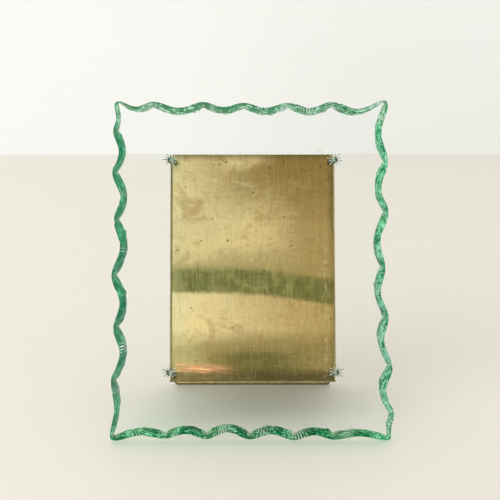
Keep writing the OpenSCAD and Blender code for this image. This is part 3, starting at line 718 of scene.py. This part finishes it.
def dress_rim(body):
    """The chipped rim, which gathers the green of the slab in facets, streaks, chips and ridges."""
    tree = body.id_data
    at = object_mm(tree)
    x, z = across_and_up(at)
    top = ease(z, 245.0, 258.0) * ease(abs(x), 109.5, 105.5)
    foot, right = ease(z, 24.0, 12.0), ease(x, 88.0, 104.0)

    def round_the_slab(tones):
        """One tone laid over another from the left to the foot, the right and the top."""
        at_left, at_foot, at_right, at_top = (broken(*tone) for tone in tones)
        return tint(top, tint(right, tint(foot, at_left, at_foot), at_right), at_top)

    # facets of broken glass, large and small, a cloudy drift and streaks along the rim
    facet = random_grey(cells(stretched(at, 0.42, 0.42, 0.42)))
    crumb = random_grey(cells(stretched(at, 1.05, 1.05, 1.05)))
    drift = noise(at, 0.12, 3.0, 0.6, 0.6)
    streak = noise(stretched(at, 0.16, 0.9, 0.16), 1.0, 4.0, 0.62, 0.5)
    lively = larger(larger(right, foot * 0.75), top * 0.7) * 0.75 + 0.32
    tone = ((facet - 0.5) * 0.75 + (crumb - 0.5) * 0.9) * lively
    tone = tone + ease(drift, 0.34, 0.66, -0.26, 0.26) + ease(streak, 0.34, 0.66, -0.36, 0.36)
    tone = tone + 0.36 + right * 0.24
    green = tint(ease(tone, 0.04, 0.5), round_the_slab(DEEP_GREEN), round_the_slab(MILD_GREEN))
    # the palest tone is painted highlight on the facets and streaks
    green = tint(ease(tone, 0.62, 0.96), green, round_the_slab(HIGHLIGHT_GREEN))
    depth = slab_mask(tree, "rim")
    border = larger(ease(depth, 0.92, 0.99), ease(depth, 0.10, 0.0))
    green = tint(border * 0.5, green, BORDER_GREEN)
    # painted highlights on chips along the lower edge of the top, and painted beige light where two bites
    # meet at the foot
    chip_highlight = ease(depth, 0.72, 0.86) * ease(facet, 0.62, 0.66) * top * 0.85
    green = tint(chip_highlight, green, CHIP_HIGHLIGHT)
    green = tint(slab_mask(tree, "cusp") * (foot * 0.6 + 0.25), green, CUSP_BEIGE)
    # a painted white glint here and there on the speckled right side, and painted highlights on the ridges
    green = tint(ease(crumb, 0.93, 0.96) * (right * 0.85), green, GLINT)
    green = tint(slab_mask(tree, "ridge") * 1.7 * ease(streak, 0.60, 0.46), green, RIDGE_HIGHLIGHT)
    feed(body, {"Base Color": green, "Specular IOR Level": 0.15, "Specular Tint": (0.35, 0.35, 0.35, 1.0),
                "Normal": bumped(crumb * 0.6 + streak, 0.5, 0.0005)})


def crystal_material(name, dress, clearness, roughness, shade):
    """Crystal in one of the three dresses above, green where light goes a long way through it."""
    material, body = new_material(name)
    tree = body.id_data
    feed(body, {"IOR": CRYSTAL_IOR, "Transmission Weight": clearness, "Roughness": roughness})
    dress(body)
    # shadow and diffuse rays pass straight through, so the slab casts a light shadow
    path = put(tree, "ShaderNodeLightPath")
    out = clear_where(body, larger(Pattern(path, "Is Shadow Ray"), Pattern(path, "Is Diffuse Ray")), shade)
    volume = put(tree, "ShaderNodeVolumeAbsorption", {"Color": ABSORB_COLOR, "Density": ABSORB_DENSITY})
    feed(out, {"Volume": Pattern(volume)})
    return material


def steel_material():
    """Drawn steel wire, dull, with fine lines along it."""
    material, body = new_material("Drawn steel")
    lines = noise(stretched(object_mm(body.id_data), 0.05, 3.0, 3.0), 1.0, 3.0)
    feed(body, {"Base Color": tint(lines, srgb(120, 119, 116), srgb(176, 174, 168)), "Metallic": 1.0,
                "Roughness": ease(lines, 0.3, 0.7, 0.28, 0.45), "Normal": bumped(lines, 0.3, 0.00003)})
    return material


def lead_material():
    """Soft lead, matte grey with a chalky bloom."""
    material, body = new_material("Lead")
    bloom = noise(object_mm(body.id_data), 0.9, 3.0)
    tone = tint(ease(bloom, 0.35, 0.7), srgb(34, 42, 36), srgb(66, 76, 66))
    feed(body, {"Base Color": tone, "Metallic": 0.6, "Roughness": ease(bloom, 0.3, 0.7, 0.55, 0.75),
                "Normal": bumped(bloom, 0.3, 0.0001)})
    return material


# Finishes on the pieces
def dress_piece(node, material):
    """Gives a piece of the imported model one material."""
    mesh = frame["nodes"][node].data
    mesh.materials.clear()
    mesh.materials.append(material)


brass = brass_group()
finishes = {
    "plate_brass": plate_material(),
    "frame_brass": brass_material("Frame brass", srgb(190, 168, 112), srgb(112, 90, 44), 0.7, 0.5, 0.7),
    "strut_brass": brass_material("Strut brass", srgb(162, 140, 92), srgb(84, 68, 36), 0.8, 0.6, 0.8),
    "rivet_brass": brass_material("Rivet brass", srgb(172, 148, 92), srgb(92, 74, 38), 0.8, 0.3, 0.5),
    "pin_steel": steel_material(),
    "lead": lead_material(),
}
for entry in frame["record"]["subparts"]:
    if entry["material_slot"] in finishes:
        dress_piece(entry["node"], finishes[entry["material_slot"]])
# painted shade: the ledge that the plate stands on is darker brass, for the shade in the gap at the plate's
# foot
dress_piece("bottom_ledge",
            brass_material("Shaded ledge brass", srgb(132, 108, 64), srgb(66, 54, 30), 0.8, 0.5, 0.8))

points, faces, kinds, masks = crystal_mesh()
crystals = [crystal_material("Crystal", dress_face, 1.0, 0.0, FACE_SHADE),
            crystal_material("Crystal rim", dress_rim, 0.3, 0.08, ROUGH_SHADE),
            crystal_material("Crystal cut", dress_cut, 0.15, 0.3, ROUGH_SHADE)]
slab = make_object("chipped_crystal", to_part(points), faces, crystals, kinds, kinds == RIM)
for column, label in enumerate(MASKS):
    layer = slab.data.attributes.new(label, "FLOAT", "POINT")
    layer.data.foreach_set("value", masks[:, column])
slab.data.set_sharp_from_angle(angle=radians(38))
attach(slab, "frame")
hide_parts("crystal_slab")


# Stage, light and camera, in metres. The camera is fitted to the corners of the slab and of the
# brass, the foot of the strut and the far edge of the table.
STAGE_HALF, TABLE_BACK, WALL_FOOT, WALL_TOP = 6, 0.82, -1, 5
LAMP_AIM = Vector((0, 0, 0.06))
LENS, SENSOR, FARTHEST = 144.2, 36.0, 50.0
CAMERA_AIM, CAMERA_DISTANCE = Vector((-0.00151, CONTACT_Y * MM, 0.15603)), 1.5169
PITCH, YAW, ROLL = radians(17.46), radians(-0.06), radians(-0.036)


def plain_stage(name, corners, color, roughness):
    """A flat quad of one pale colour, clear from behind, which isn't part of the object."""
    material, body = new_material(name)
    feed(body, {"Base Color": color, "Roughness": roughness, "Specular IOR Level": 0.2})
    clear_where(body, Pattern(put(body.id_data, "ShaderNodeNewGeometry"), "Backfacing"))
    make_object(name, np.array(corners, float), [np.array([[0, 1, 2, 3]])], [material])


plain_stage("Table", [(-STAGE_HALF, -STAGE_HALF, 0), (STAGE_HALF, -STAGE_HALF, 0),
                      (STAGE_HALF, TABLE_BACK, 0), (-STAGE_HALF, TABLE_BACK, 0)],
            srgb(243, 238, 228), 0.45)
plain_stage("Wall", [(-STAGE_HALF, TABLE_BACK, WALL_FOOT), (STAGE_HALF, TABLE_BACK, WALL_FOOT),
                     (STAGE_HALF, TABLE_BACK, WALL_TOP), (-STAGE_HALF, TABLE_BACK, WALL_TOP)],
            srgb(246, 247, 246), 0.7)

world = bpy.data.worlds.new("Studio")
world.use_nodes = True
feed(world.node_tree.nodes["Background"], {"Color": (1.0, 0.987, 0.957, 1.0), "Strength": 0.78})
bpy.context.scene.world = world


def add_lamp(name, place, size, power, color):
    """A rectangular lamp, turned towards the foot of the frame."""
    data = bpy.data.lights.new(name, "AREA")
    data.shape = "RECTANGLE"
    data.size, data.size_y = size
    data.energy, data.color = power, color
    lamp = bpy.data.objects.new(name, data)
    bpy.context.scene.collection.objects.link(lamp)
    lamp.location = place
    lamp.rotation_euler = (LAMP_AIM - lamp.location).to_track_quat("-Z", "Y").to_euler()


add_lamp("Window", (-1.6, -1.5, 1.35), (1.8, 1.4), 19.0, (0.975, 0.99, 1.04))
add_lamp("Low window", (-0.5, -2.1, 0.26), (1.0, 0.4), 9.0, (1.0, 1.0, 1.0))

camera_data = bpy.data.cameras.new("Camera")
camera_data.lens, camera_data.sensor_width, camera_data.clip_end = LENS, SENSOR, FARTHEST
camera = bpy.data.objects.new("Camera", camera_data)
bpy.context.scene.collection.objects.link(camera)
ahead = Vector((-sin(YAW) * cos(PITCH), cos(YAW) * cos(PITCH), -sin(PITCH)))
turn = ahead.to_track_quat("-Z", "Y").to_matrix().to_4x4() @ Matrix.Rotation(ROLL, 4, "Z")
camera.matrix_world = Matrix.Translation(CAMERA_AIM - ahead * CAMERA_DISTANCE) @ turn
bpy.context.scene.camera = camera

bpy.context.scene.view_settings.view_transform = "Standard"
